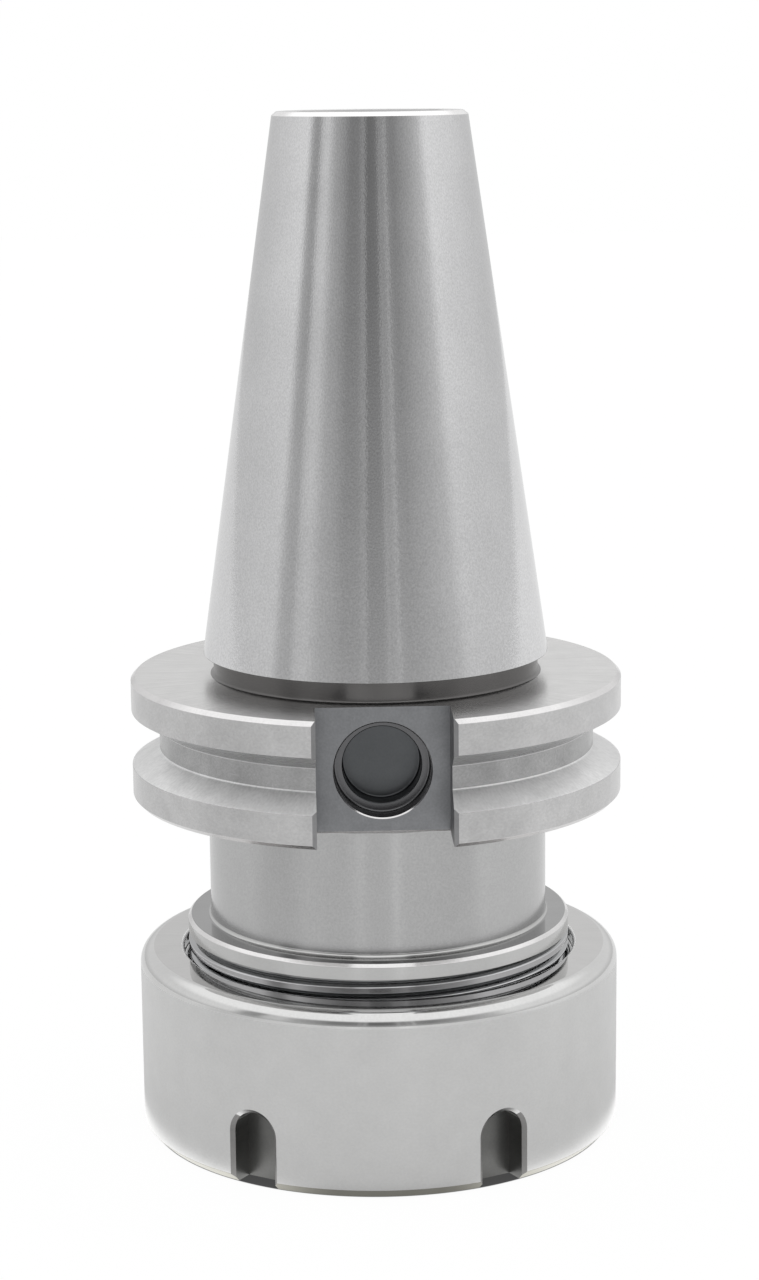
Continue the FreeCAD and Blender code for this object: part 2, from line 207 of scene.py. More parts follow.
def grid_places(tree, columns, rows):
    """A unit grid, and each vertex's column and row as whole numbers."""
    grid = node(tree, "GeometryNodeMeshGrid",
                {"Size X": 1.0, "Size Y": 1.0,
                 "Vertices X": reckon(tree, "ADD", columns, 1.0),
                 "Vertices Y": reckon(tree, "ADD", rows, 1.0)})
    place = node(tree, "ShaderNodeSeparateXYZ",
                 {0: node(tree, "GeometryNodeInputPosition").outputs[0]})
    column = reckon(tree, "ROUND", reckon(
        tree, "MULTIPLY", reckon(tree, "ADD", place.outputs["X"], 0.5), columns))
    row = reckon(tree, "ROUND", reckon(
        tree, "MULTIPLY", reckon(tree, "ADD", place.outputs["Y"], 0.5), rows))
    return grid.outputs["Mesh"], column, row


def round_place(tree, radius, angle, height):
    """A point at a radius, angle and height."""
    return node(tree, "ShaderNodeCombineXYZ", {
        "X": reckon(tree, "MULTIPLY", radius, reckon(tree, "COSINE", angle)),
        "Y": reckon(tree, "MULTIPLY", radius, reckon(tree, "SINE", angle)),
        "Z": height}).outputs[0]


def finish_tree(tree, geometry, material, output):
    """Realize Instances and Set Material, which every tree ends in."""
    real = node(tree, "GeometryNodeRealizeInstances", {"Geometry": geometry})
    coated = node(tree, "GeometryNodeSetMaterial",
                  {"Geometry": real.outputs[0], "Material": material})
    tree.links.new(coated.outputs[0], output.inputs["Geometry"])


def turning_tree():
    """A full turn of an outline about the spindle axis."""
    tree, given, output = new_group("Turned bar", "GeometryNodeTree", [
        ("Outline", "NodeSocketObject", None), ("Steps", "NodeSocketInt", RING_STEPS),
        ("Material", "NodeSocketMaterial", None)], [("Geometry", "NodeSocketGeometry")])
    source = node(tree, "GeometryNodeObjectInfo",
                  {"Object": given.outputs["Outline"]}).outputs["Geometry"]
    count = node(tree, "GeometryNodeAttributeDomainSize",
                 {"Geometry": source}).outputs["Point Count"]
    steps = given.outputs["Steps"]
    grid, column, row = grid_places(tree, steps, count)
    around = reckon(tree, "MODULO", column, steps)
    angle = reckon(tree, "MULTIPLY", reckon(tree, "DIVIDE", around, steps), math.tau)
    radius, height = outline_sample(tree, source, reckon(tree, "MODULO", row, count))
    placed = node(tree, "GeometryNodeSetPosition",
                  {"Geometry": grid, "Position": round_place(tree, radius, angle, height)})
    merged = node(tree, "GeometryNodeMergeByDistance",
                  {"Geometry": placed.outputs[0], "Distance": 1e-6})
    finish_tree(tree, merged.outputs[0], given.outputs["Material"], output)
    return tree


def ring_tree():
    """Copies of a cutter, evenly spaced round the spindle axis."""
    tree, given, output = new_group("Ring of copies", "GeometryNodeTree", [
        ("Geometry", "NodeSocketGeometry", None), ("Count", "NodeSocketInt", 6),
        ("First angle", "NodeSocketFloat", 0.0), ("Material", "NodeSocketMaterial", None)],
        [("Geometry", "NodeSocketGeometry")])
    points = node(tree, "GeometryNodePoints", {"Count": given.outputs["Count"]})
    share = reckon(tree, "DIVIDE", node(tree, "GeometryNodeInputIndex").outputs[0],
                   given.outputs["Count"])
    angle = reckon(tree, "ADD", reckon(tree, "MULTIPLY", share, math.tau),
                   given.outputs["First angle"])
    turned = node(tree, "ShaderNodeCombineXYZ", {"Z": angle})
    copies = node(tree, "GeometryNodeInstanceOnPoints",
                  {"Points": points.outputs[0], "Instance": given.outputs["Geometry"],
                   "Rotation": turned.outputs[0]})
    finish_tree(tree, copies.outputs[0], given.outputs["Material"], output)
    return tree


def thread_tree():
    """A thread's ridge, wound down a cylinder and fading out at both ends."""
    tree, given, output = new_group("Helical thread", "GeometryNodeTree", [
        ("Outline", "NodeSocketObject", None), ("Core radius", "NodeSocketFloat", 0.0),
        ("Pitch", "NodeSocketFloat", THREAD_PITCH * MM), ("Top", "NodeSocketFloat", 0.0),
        ("Turns", "NodeSocketFloat", 8.0), ("Steps a turn", "NodeSocketInt", RING_STEPS),
        ("Start angle", "NodeSocketFloat", 0.0), ("Run-out", "NodeSocketFloat", 0.08),
        ("Material", "NodeSocketMaterial", None)], [("Geometry", "NodeSocketGeometry")])
    source = node(tree, "GeometryNodeObjectInfo",
                  {"Object": given.outputs["Outline"]}).outputs["Geometry"]
    count = node(tree, "GeometryNodeAttributeDomainSize",
                 {"Geometry": source}).outputs["Point Count"]
    columns = reckon(tree, "ROUND", reckon(tree, "MULTIPLY", given.outputs["Turns"],
                                           given.outputs["Steps a turn"]))
    grid, column, row = grid_places(tree, columns, count)
    turns = reckon(tree, "DIVIDE", column, given.outputs["Steps a turn"])
    left = reckon(tree, "SUBTRACT", given.outputs["Turns"], turns)
    fade = reckon(tree, "MINIMUM", 1.0, reckon(
        tree, "DIVIDE", reckon(tree, "MINIMUM", turns, left), given.outputs["Run-out"]))
    depth, height = outline_sample(tree, source, reckon(tree, "MODULO", row, count))
    radius = reckon(tree, "ADD", given.outputs["Core radius"],
                    reckon(tree, "MULTIPLY", depth, fade))
    angle = reckon(tree, "SUBTRACT", given.outputs["Start angle"],
                   reckon(tree, "MULTIPLY", turns, math.tau))
    level = reckon(tree, "SUBTRACT", reckon(tree, "ADD", given.outputs["Top"], height),
                   reckon(tree, "MULTIPLY", turns, given.outputs["Pitch"]))
    placed = node(tree, "GeometryNodeSetPosition",
                  {"Geometry": grid, "Position": round_place(tree, radius, angle, level)})
    merged = node(tree, "GeometryNodeMergeByDistance",
                  {"Geometry": placed.outputs[0], "Distance": 1e-7})
    finish_tree(tree, merged.outputs[0], given.outputs["Material"], output)
    return tree


def set_input(modifier, label, value):
    """Set a tree's input by its socket's identifier."""
    for socket in modifier.node_group.interface.items_tree:
        if socket.item_type == "SOCKET" and socket.in_out == "INPUT" and socket.name == label:
            modifier[socket.identifier] = value
            return
    raise RuntimeError("no input named " + label)


def grow(name, mesh, tree, **inputs):
    """A scratch object with a tree on it, its inputs named with underscores for spaces."""
    made = scratch_object(name, mesh or bpy.data.meshes.new(name))
    modifier = made.modifiers.new(tree.name, "NODES")
    modifier.node_group = tree
    for label, value in inputs.items():
        set_input(modifier, label.replace("_", " "), value)
    return made


def plain_mesh(source, name):
    """The finished shape of an object with modifiers, as a mesh of its own."""
    graph = bpy.context.evaluated_depsgraph_get()
    mesh = bpy.data.meshes.new_from_object(source.evaluated_get(graph), depsgraph=graph)
    mesh.name = name
    return mesh


def faces_outward(made):
    """A scratch object's mesh with its tree applied and every face looking out."""
    mesh = plain_mesh(made, made.name + "_solid")
    work = bmesh.new()
    work.from_mesh(mesh)
    bmesh.ops.recalc_face_normals(work, faces=work.faces)
    if work.calc_volume(signed=True) < 0:
        bmesh.ops.reverse_faces(work, faces=work.faces)
    work.to_mesh(mesh)
    work.free()
    return scratch_object(made.name + "_solid", mesh)


def turned_object(name, outline, steps=RING_STEPS):
    """An outline turned about the spindle axis."""
    return faces_outward(grow(name, None, TURNING, Steps=steps,
                              Outline=outline_object(name + "_outline", outline)))


def cut_away(solid, *cutters):
    """Take the cutters away from the solid, exactly."""
    for cutter in cutters:
        modifier = solid.modifiers.new(cutter.name, "BOOLEAN")
        modifier.operation = "DIFFERENCE"
        modifier.solver = "EXACT"
        modifier.object = cutter


def layered_solid(name, layers):
    """A closed solid through outlines with the same number of points, in millimetres."""
    count = len(layers[0])
    last = count * (len(layers) - 1)
    points = [[value * MM for value in point] for layer in layers for point in layer]
    faces = [tuple(range(count)), tuple(range(last + count - 1, last - 1, -1))]
    for base in range(0, last, count):
        faces += [(base + i, base + (i + 1) % count,
                   base + count + (i + 1) % count, base + count + i) for i in range(count)]
    mesh = bpy.data.meshes.new(name)
    mesh.from_pydata(points, [], faces)
    return faces_outward(scratch_object(name, mesh))


def prism(name, corners, low, high, axis="Z"):
    """A straight cutter: a flat outline carried along Z, or one of Y and Z along X."""
    return layered_solid(name, [
        [(first, second, level) if axis == "Z" else (level, first, second)
         for first, second in corners] for level in (low, high)])


# True normals: each corner of the finished mesh takes the normal of the turned surface it lies on.

# A corner takes an outline's normal if it lies this near to it in millimetres, no farther past
# a stretch's end than this share of it, and on a face whose own normal agrees by this cosine.
NEAR_OUTLINE = 0.004
PAST_END = 0.02
SAME_WAY = 0.985


def family(outline, origin=(0, 0, 0), axis=(0, 0, 1)):
    """A turned surface's outline with the line that it is turned about."""
    return dict(outline, origin=np.array(origin, float), axis=np.array(axis, float))


def read_values(items, name, kind=float, width=1):
    """One property of every vertex, corner or face, as an array."""
    values = np.empty(len(items) * width, kind)
    items.foreach_get(name, values)
    return values.reshape(-1, width) if width > 1 else values


def true_normals(mesh, families):
    """Custom normals from the outlines that the mesh was turned from, else each face's own."""
    corner_vertex = read_values(mesh.loops, "vertex_index", np.int64)
    position = (read_values(mesh.vertices, "co", width=3) / MM)[corner_vertex]
    normals = np.repeat(read_values(mesh.polygons, "normal", width=3),
                        read_values(mesh.polygons, "loop_total", np.int64), axis=0)
    settled = np.zeros(len(corner_vertex), bool)
    for surface in families:
        points, axis = surface["points"], surface["axis"]
        away = position - surface["origin"]
        height = away @ axis
        outward = away - height[:, None] * axis
        radius = np.linalg.norm(outward, axis=1)
        outward /= np.maximum(radius, 1e-6)[:, None]
        flat = np.stack([(normals * outward).sum(1), normals @ axis], 1)
        for start, end, start_normal, end_normal in zip(
                points, np.roll(points, -1, axis=0), surface["start"], surface["end"]):
            span = end - start
            length = np.hypot(*span)
            if length < 1e-6:
                continue
            offset = np.stack([radius, height], 1) - start
            share = (offset @ span) / length ** 2
            gap = np.abs(offset @ np.array((span[1], -span[0]))) / length
            middle = start_normal + end_normal
            agree = flat @ (middle / np.hypot(*middle))
            near = ~settled & (gap < NEAR_OUTLINE) & (np.abs(agree) > SAME_WAY)
            near &= (share > -PAST_END) & (share < 1 + PAST_END)
            if not near.any():
                continue
            blend = np.clip(share[near], 0, 1)[:, None]
            section = start_normal * (1 - blend) + end_normal * blend
            section /= np.linalg.norm(section, axis=1)[:, None]
            section *= np.sign(agree[near])[:, None]
            normals[near] = section[:, :1] * outward[near] + section[:, 1:] * axis
            settled |= near
    mesh.polygons.foreach_set("use_smooth", np.ones(len(mesh.polygons), bool))
    mesh.normals_split_custom_set(normals.tolist())


TURNING = turning_tree()
RING = ring_tree()
THREAD = thread_tree()


# The chuck body.

BODY_OUTLINE = turned_outline([
    (9.342, SMALL_END, 0.1), (8.142, 130.55, 0), (8.142, 126.95, 0), (6.752, 126.95, 0),
    (6.752, 93.75, 0), (4.0, 92.096, 0), (4.0, 65.667, 0), (12.6, 60.5, 0), (12.6, 47.5, 0),
    (15.414, 47.5, 0), (20.403, 12.0, 0.3), (23.18, 12.0, 0.1), (THREAD_ROOT, 12.9, 0.1),
    (THREAD_ROOT, COLLAR_FOOT, 0.15), (COLLAR_RADIUS, COLLAR_FOOT, 0.12),
    (COLLAR_RADIUS, 27.8, 0.12), (24.6, COLLAR_TOP, 0.12), (NECK_RADIUS, COLLAR_TOP, 0.5),
    (NECK_RADIUS, FLANGE_FOOT, 0.5), (31.2, FLANGE_FOOT, 0.06),
    (FLANGE_RADIUS, 45.0, 0.06), (FLANGE_RADIUS, 48.745, 0.1), (28.18, 50.806, 0.35),
    (28.18, 53.834, 0.35), (FLANGE_RADIUS, 55.895, 0.1), (FLANGE_RADIUS, 59.77, 0.06),
    (31.2, FLANGE_TOP, 0.06), (21.0, FLANGE_TOP, 0.5), (21.0, 63.11, 0.3),
    (22.282, 63.11, 0.06), (12.345, 131.25, 0.12), (11.75, SMALL_END, 0.25),
])

POCKET_OUTLINE = turned_outline([
    (0, 23.6, 0), (0, 16.6, 0), (4.9, 16.6, 0.25), (4.9, 19.5, 0), (5.0, POCKET_LEDGE, 0),
    (POCKET_RADIUS, POCKET_LEDGE, 0.25), (POCKET_RADIUS, 22.45, 0), (6.15, SLOT_FLOOR, 0),
    (7.15, 23.6, 0),
])


def pocket_cutter():
    """The round pocket's cutter, turned about a line that leaves the slot's floor squarely."""
    cutter = turned_object("pocket", POCKET_OUTLINE, steps=144)
    lay = Matrix.Translation((0, 0, POCKET_HEIGHT * MM)) @ Matrix.Rotation(math.pi / 2, 4, "X")
    cutter.data.transform(lay)
    return cutter


def ring_of(name, cutter, count, first_angle=0.0):
    """Copies of a cutter round the spindle axis, as one cutter."""
    copies = grow(name, cutter.data, RING, Count=count, First_angle=first_angle)
    return scratch_object(name + "_plain", plain_mesh(copies, name))


def drive_slot_cutters():
    """Two opposite slots: a straight cut with a bevel at its floor's foot, and flared edges."""
    below, above, outside = 43, 61.6, 34
    straight = prism("slot_straight", [
        (-outside, below), (-22.2, below), (-22.2, 44.3), (-SLOT_FLOOR, 44.7),
        (-SLOT_FLOOR, above), (-outside, above)], -SLOT_HALF_WIDTH, SLOT_HALF_WIDTH, "X")
    edge = SLOT_FLARE - math.sqrt(FLANGE_RADIUS ** 2 - SLOT_HALF_WIDTH ** 2)
    flare = SLOT_HALF_WIDTH + outside + edge
    flared = prism("slot_flared", [
        (-SLOT_HALF_WIDTH, edge), (-flare, -outside), (flare, -outside),
        (SLOT_HALF_WIDTH, edge)], below, above)
    return [ring_of("drive_slots", straight, 2), ring_of("drive_slot_edges", flared, 2)]


def thread_ridge(name, core, crest, top, turns, crest_half=0.10):
    """One thread's ridge: a truncated sixty-degree V with the edges of its crest broken and its
    foot sunk in the core."""
    depth = crest - core
    sign = math.copysign(1, depth)
    foot_half = crest_half + abs(depth) * math.tan(math.radians(30))
    upper = [(-0.15 * sign, foot_half + 0.02), (0.0, foot_half),
             (depth - 0.06 * sign, crest_half + 0.035), (depth, crest_half - 0.03)]
    lower = [(reach, -half) for reach, half in upper]
    section = {"points": np.array(lower + upper[::-1])}
    made = grow(name, None, THREAD, Outline=outline_object(name + "_outline", section),
                Core_radius=core * MM, Top=top * MM, Turns=turns, Start_angle=THREAD_START)
    mesh = faces_outward(made).data
    mesh.shade_smooth()
    mesh.set_sharp_from_angle(angle=math.radians(28))
    return mesh


def join_meshes(name, meshes):
    """Several meshes with their normals kept, as one object."""
    made = []
    for index, mesh in enumerate(meshes):
        part = bpy.data.objects.new(f"{name}_{index}", mesh)
        bpy.context.scene.collection.objects.link(part)
        made.append(part)
    made[0].name = name
    with bpy.context.temp_override(active_object=made[0], object=made[0],
                                   selected_editable_objects=made, selected_objects=made):
        bpy.ops.object.join()
    return made[0]


def build_body():
    """The bar with its drive slots, its pocket, and a nose thread whose first turn is wider."""
    bar = turned_object("chuck_bar", BODY_OUTLINE)
    cut_away(bar, *drive_slot_cutters(), pocket_cutter())
    mesh = plain_mesh(bar, "chuck_bar")
    true_normals(mesh, [family(BODY_OUTLINE),
                        family(POCKET_OUTLINE, (0, 0, POCKET_HEIGHT), (0, -1, 0))])
    ridge = thread_ridge("nose_thread", THREAD_ROOT, THREAD_CREST, THREAD_TOP, 8.4)
    first_turn = thread_ridge("nose_thread_start", THREAD_ROOT, THREAD_CREST + HAIR, 25.62, 0.9,
                              crest_half=0.36)
    return join_meshes("holder_body", [mesh, ridge, first_turn])


# The clamping nut.

NUT_OUTLINE = turned_outline([
    (16.607, 0, 0.08), (30.25, 0, 0.12), (NUT_RADIUS, NUT_BEVEL, 0.12),
    (NUT_RADIUS, NUT_HEIGHT, NUT_ROUND), (NUT_MOUTH, NUT_HEIGHT, 0.35),
    (NUT_MOUTH, 22.3, 0.15), (25.3, 22.3, 0), (NUT_THREAD, 22.0, 0), (NUT_THREAD, 13.0, 0),
    (25.4, 13.0, 0), (25.4, 9.3, 0.3), (18.75, 9.3, 0), (18.75, 6.9, 0), (20.19, 6.9, 0.2),
    (16.407, 0.346, 0.08),
])
LIP_OUTLINE = turned_outline([(0, 6.9, 0), (19.95, 6.9, 0), (19.95, 9.3, 0), (0, 9.3, 0)])

# The extractor lip stands off the spindle axis, so that the collet can be tilted into it.
LIP_OFFSET = 1.2
SPANNER_SLOTS = 6
SPANNER_SLOT_HALF = 2.9
SPANNER_SLOT_CENTRE = 6.85
SPANNER_SLOT_DEPTH = 3.6
SPANNER_SLOT_TOP = 10.4
SPANNER_EDGE = 0.5
SPANNER_FLARE = 2.5
ARCH_STEPS = 32


def spanner_slot_cutter():
    """A slot with a round top, its outer edge flared to a bevel that follows the nut's wall."""
    arch = [(-1.0, -3.0)]
    arch += [(-math.cos(math.pi * step / ARCH_STEPS), math.sin(math.pi * step / ARCH_STEPS))
             for step in range(ARCH_STEPS + 1)]
    arch += [(1.0, -3.0)]
    edge = NUT_RADIUS - SPANNER_EDGE
    layers = []
    for half, reach, follows_wall in (
            (SPANNER_SLOT_HALF, NUT_RADIUS - SPANNER_SLOT_DEPTH, False),
            (SPANNER_SLOT_HALF, edge, True),
            (SPANNER_SLOT_HALF + SPANNER_FLARE, edge + SPANNER_FLARE, True)):
        layer = []
        for across, up in arch:
            side = across * half
            drop = NUT_RADIUS - math.sqrt(NUT_RADIUS ** 2 - side ** 2) if follows_wall else 0.0
            layer.append((side, drop - reach, SPANNER_SLOT_CENTRE + up * half))
        layers.append(layer)
    return ring_of("spanner_slots", layered_solid("spanner_slot", layers), SPANNER_SLOTS)


def slot_families():
    """The spanner slots' round tops as turned surfaces, for their normals."""
    half, flared = SPANNER_SLOT_HALF, SPANNER_SLOT_HALF + SPANNER_FLARE
    outline = turned_outline([(0, 27.8, 0), (half, 27.8, 0), (half, 31.0, 0),
                              (flared, 33.5, 0), (0, 33.5, 0)])
    angles = [index * math.tau / SPANNER_SLOTS for index in range(SPANNER_SLOTS)]
    return [family(outline, (0, 0, SPANNER_SLOT_CENTRE), (math.sin(angle), -math.cos(angle), 0))
            for angle in angles]


def build_nut():
    """The nut with its extractor lip, spanner slots and thread, turned as in the photo."""
    turned = turned_object("nut_blank", NUT_OUTLINE)
    lip = turned_object("lip", LIP_OUTLINE, steps=180)
    lip.data.transform(Matrix.Translation((LIP_OFFSET * MM, 0, 0)))
    cut_away(turned, lip, spanner_slot_cutter())
    mesh = plain_mesh(turned, "nut_blank")
    true_normals(mesh, [family(NUT_OUTLINE), family(LIP_OUTLINE, (LIP_OFFSET, 0, 0)),
                        *slot_families()])
    mesh.transform(Matrix.Rotation(NUT_CLOCKING, 4, "Z"))
    ridge = thread_ridge("nut_thread", NUT_THREAD, 24.33, THREAD_TOP - THREAD_PITCH * 2.5, 5.6)
    return join_meshes("nut_body", [mesh, ridge])


# The spring collet.

COLLET_OUTLINE = turned_outline([
    (10.0, 46.5, 0.25), (10.0, 0.5, 0.25), (16.396, 0.5, 0.2), (19.86, 6.5, 0.15),
    (17.6, 6.5, 0.25), (17.6, 10.0, 0.25), (19.9, 10.0, 0.1), (20.5, 10.6, 0.2),
    (15.525, 46.0, 0.1), (15.0, 46.5, 0.1),
])
SAW_CUT = [(5, -0.5), (24, -0.5), (24, 0.5), (5, 0.5)]
SAW_CUTS_AN_END = 8


def build_collet():
    """The collet with saw cuts from both ends, the back ones half a step round."""
    turned = turned_object("collet_blank", COLLET_OUTLINE, steps=288)
    front = prism("front_slit", SAW_CUT, -1, 40.5)
    back = prism("back_slit", SAW_CUT, 12.5, 48)
    cut_away(turned, ring_of("front_slits", front, SAW_CUTS_AN_END),
             ring_of("back_slits", back, SAW_CUTS_AN_END, math.pi / SAW_CUTS_AN_END))
    mesh = plain_mesh(turned, "collet_blank")
    true_normals(mesh, [family(COLLET_OUTLINE)])
    return join_meshes("collet_body", [mesh])


# Steel finishes; some are darker copies that carry painted shade, some lighter copies that carry
# painted highlights.

def new_material(name):
    """An empty material with its tree and its output node."""
    material = bpy.data.materials.new(name)
    material.use_nodes = True
    tree = material.node_tree
    tree.nodes.clear()
    return material, tree, node(tree, "ShaderNodeOutputMaterial")


def round_coordinates():
    """Object coordinates in millimetres, the same wrapped round a drum of one radius, and the
    direction in which reflections draw out."""
    tree, _, output = new_group("Round coordinates", "ShaderNodeTree", [], [
        ("Wrapped", "NodeSocketVector"), ("Solid", "NodeSocketVector"),
        ("Tangent", "NodeSocketVector")])
    place = node(tree, "ShaderNodeTexCoord").outputs["Object"]
    solid = node(tree, "ShaderNodeMapping",
                 {"Vector": place, "Scale": (1000, 1000, 1000)}).outputs[0]
    parts = node(tree, "ShaderNodeSeparateXYZ", {0: solid})
    flat = node(tree, "ShaderNodeCombineXYZ",
                {"X": parts.outputs["X"], "Y": parts.outputs["Y"]}).outputs[0]
    unit = node(tree, "ShaderNodeVectorMath", {0: flat}, operation="NORMALIZE").outputs[0]
    lean = node(tree, "ShaderNodeVectorMath", {0: unit, 1: (-0.5, -0.5, 0), 2: (0, 0, 0.9)},
                operation="MULTIPLY_ADD").outputs[0]
    tangent = node(tree, "ShaderNodeVectorTransform", {0: lean}, vector_type="VECTOR",
                   convert_from="OBJECT", convert_to="WORLD").outputs[0]
    drum = node(tree, "ShaderNodeVectorMath", {0: unit, 3: DRUM_RADIUS},
                operation="SCALE").outputs[0]
    drum_parts = node(tree, "ShaderNodeSeparateXYZ", {0: drum})
    wrapped = node(tree, "ShaderNodeCombineXYZ", {
        "X": drum_parts.outputs["X"], "Y": drum_parts.outputs["Y"],
        "Z": parts.outputs["Z"]}).outputs[0]
    for label, value in (("Wrapped", wrapped), ("Solid", solid), ("Tangent", tangent)):
        tree.links.new(value, output.inputs[label])
    return tree


def grinding_marks():
    """Fine lines left round the bar by the wheel or the turning tool, with a little grain."""
    tree, given, output = new_group("Grinding marks", "ShaderNodeTree", [
        ("Wrapped", "NodeSocketVector", None), ("Lines per mm", "NodeSocketFloat", 6.0),
        ("Grain", "NodeSocketFloat", 0.4)],
        [("Height", "NodeSocketFloat"), ("Streak", "NodeSocketFloat"),
         ("Speckle", "NodeSocketFloat")])
    stretch = node(tree, "ShaderNodeCombineXYZ",
                   {"X": 0.05, "Y": 0.05, "Z": given.outputs["Lines per mm"]})
    lined = node(tree, "ShaderNodeVectorMath",
                 {0: given.outputs["Wrapped"], 1: stretch.outputs[0]}, operation="MULTIPLY")
    lines = node(tree, "ShaderNodeTexNoise",
                 {"Vector": lined.outputs[0], "Scale": 1.0, "Detail": 3.0, "Roughness": 0.6})
    grain = node(tree, "ShaderNodeTexNoise",
                 {"Vector": given.outputs["Wrapped"], "Scale": 3.2, "Detail": 2.0})
    mixed = node(tree, "ShaderNodeMix",
                 {"Factor": given.outputs["Grain"], 2: lines.outputs[0], 3: grain.outputs[0]})
    tree.links.new(mixed.outputs[0], output.inputs["Height"])
    tree.links.new(lines.outputs[0], output.inputs["Streak"])
    specks = node(tree, "ShaderNodeTexNoise",
                  {"Vector": given.outputs["Wrapped"], "Scale": 3.6, "Detail": 1.0})
    tree.links.new(specks.outputs[0], output.inputs["Speckle"])
    return tree


DRUM_RADIUS = 25.0
ROUND_COORDINATES = round_coordinates()
GRINDING_MARKS = grinding_marks()


def steel(name, colour, roughness, stretch=0.6, lines=6.0, grain=0.4, depth=0.0015,
          mottle=0.05, cloud=0.30, speckle=0.02):
    """Bare steel with marks round the axis: its colour, its polish, how far reflections draw
    out along the bar, the lines in a millimetre and the share of grain in them, how deep the
    marks are in millimetres, and how mottled, how finely clouded and how speckled it is."""
    material, tree, output = new_material(name)
    where = node(tree, "ShaderNodeGroup", node_tree=ROUND_COORDINATES)
    marks = node(tree, "ShaderNodeGroup",
                 {"Wrapped": where.outputs["Wrapped"], "Lines per mm": lines, "Grain": grain},
                 node_tree=GRINDING_MARKS)
    clouds = node(tree, "ShaderNodeTexNoise", {"Vector": where.outputs["Solid"],
                                               "Scale": cloud, "Detail": 3.0}).outputs[0]
    uneven = reckon(tree, "ADD", clouds,
                    reckon(tree, "MULTIPLY", marks.outputs["Height"], 0.5))
    tone = graded(tree, uneven, 0.45, 1.05, 1 - mottle, 1 + mottle)
    specks = graded(tree, marks.outputs["Speckle"], 0.3, 0.7, 1 - speckle, 1 + speckle)
    tinted = node(tree, "ShaderNodeVectorMath",
                  {0: colour, 3: reckon(tree, "MULTIPLY", tone, specks)}, operation="SCALE")
    polish = reckon(tree, "MULTIPLY_ADD", marks.outputs["Streak"], roughness * 0.25,
                    roughness * 0.875)
    bump = node(tree, "ShaderNodeBump",
                {"Height": marks.outputs["Height"], "Strength": 1.0,
                 "Distance": depth * MM})
    shader = node(tree, "ShaderNodeBsdfPrincipled", {
        "Base Color": tinted.outputs[0], "Metallic": 1.0, "Roughness": polish,
        "Anisotropic": stretch, "Tangent": where.outputs["Tangent"],
        "Normal": bump.outputs[0]})
    tree.links.new(shader.outputs[0], output.inputs["Surface"])
    return material


